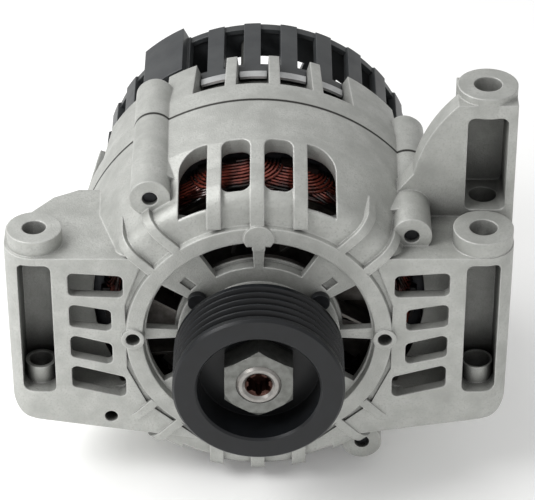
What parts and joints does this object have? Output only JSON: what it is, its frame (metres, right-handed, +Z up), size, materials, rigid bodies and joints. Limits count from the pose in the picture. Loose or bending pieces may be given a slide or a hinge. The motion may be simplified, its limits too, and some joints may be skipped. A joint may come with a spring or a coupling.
{
  "type": "vehicle alternator",
  "caption": "Belt-driven claw-pole alternator: cast housings with cooling grilles and mounting ears, ribbed pulley, rotor on ball bearings, brushes, rectifier and plastic rear cover.",
  "frame": {"origin": "where the shaft axis meets the middle plane of the belt track", "axes": "+Y along the shaft from the pulley to the rear cover, +Z up along the ear bolts, +X to the right seen from the pulley"},
  "size_m": [0.1817, 0.1714, 0.15],
  "materials": {
    "cast_aluminium": "bead-blasted casting",
    "cover_plastic": "moulded glass-filled nylon",
    "pulley_steel": "black oxide",
    "zinc_steel": "zinc plated",
    "ground_steel": "ground",
    "black_screw_steel": "phosphated",
    "plate_steel": "pressed sheet",
    "pole_steel": "forged",
    "core_laminations": "stacked sheet, varnished",
    "enamelled_copper": "enamelled and varnished",
    "slip_copper": "turned",
    "seal_rubber": "moulded",
    "inner_plastic": "moulded",
    "cage_plastic": "moulded nylon",
    "heat_sink_aluminium": "rolled plate",
    "diode_nickel": "nickel plated",
    "carbon": "copper graphite",
    "spring_steel": "spring wire",
    "pin_tin": "tin plated"
  },
  "bodies": {
    "housing": {"front_housing": "cast_aluminium", "rear_housing": "cast_aluminium", "rear_cover": "cover_plastic", "stator_core": "core_laminations", "stator_winding": "enamelled_copper", "front_bearing_outer_race": "ground_steel", "front_bearing_seals": "seal_rubber", "bearing_retainer": "plate_steel", "retainer_screws": "black_screw_steel", "rear_bearing_sleeve": "inner_plastic", "rear_bearing_outer_race": "ground_steel", "rear_bearing_seals": "seal_rubber", "through_bolts": "zinc_steel", "brush_holder": "inner_plastic", "brush_spring_positive": "spring_steel", "brush_spring_negative": "spring_steel", "minus_heat_plate": "heat_sink_aluminium", "minus_diodes": "diode_nickel", "plus_heat_plate": "heat_sink_aluminium", "plus_diodes": "diode_nickel", "rectifier_spacers": "inner_plastic", "output_stud": "zinc_steel", "stud_sleeve": "inner_plastic", "output_nut": "zinc_steel", "voltage_regulator": "inner_plastic", "plug_socket": "inner_plastic", "socket_pins": "pin_tin", "cover_screws": "zinc_steel"},
    "rotor": {"belt_pulley": "pulley_steel", "pulley_nut": "zinc_steel", "rotor_shaft": "ground_steel", "shaft_spacer": "ground_steel", "front_bearing_inner_race": "ground_steel", "rear_bearing_inner_race": "ground_steel", "claw_pole_front": "pole_steel", "claw_pole_rear": "pole_steel", "coil_bobbin": "cage_plastic", "field_coil": "enamelled_copper", "front_fan": "plate_steel", "rear_fan": "plate_steel", "slip_ring_insulator": "inner_plastic", "slip_ring_front": "slip_copper", "slip_ring_rear": "slip_copper"},
    "front_ball_set": {"front_bearing_balls": "ground_steel", "front_bearing_cage": "cage_plastic"},
    "rear_ball_set": {"rear_bearing_balls": "ground_steel", "rear_bearing_cage": "cage_plastic"},
    "positive_brush": {"brush_positive": "carbon"},
    "negative_brush": {"brush_negative": "carbon"}
  },
  "joints": [
    {"name": "rotor_spin", "type": "hinge", "parent": "housing", "child": "rotor", "pos_m": [0, 0, 0], "axis": [0, 1, 0], "continuous": true},
    {"name": "front_balls_roll", "type": "hinge", "parent": "housing", "child": "front_ball_set", "pos_m": [0, 0, 0], "axis": [0, 1, 0], "continuous": true},
    {"name": "rear_balls_roll", "type": "hinge", "parent": "housing", "child": "rear_ball_set", "pos_m": [0, 0, 0], "axis": [0, 1, 0], "continuous": true},
    {"name": "brush_positive_slide", "type": "slide", "parent": "housing", "child": "positive_brush", "axis": [0, 0, 1], "range_m": [0, 0.005], "stiffness_N_per_m": 200, "springref_m": -0.012, "deforming": ["brush_spring_positive"]},
    {"name": "brush_negative_slide", "type": "slide", "parent": "housing", "child": "negative_brush", "axis": [0, 0, 1], "range_m": [0, 0.005], "stiffness_N_per_m": 200, "springref_m": -0.012, "deforming": ["brush_spring_negative"]}
  ],
  "couplings": [
    {"joint": "front_balls_roll", "follows": "rotor_spin", "ratio": 0.382},
    {"joint": "rear_balls_roll", "follows": "rotor_spin", "ratio": 0.382}
  ]
}
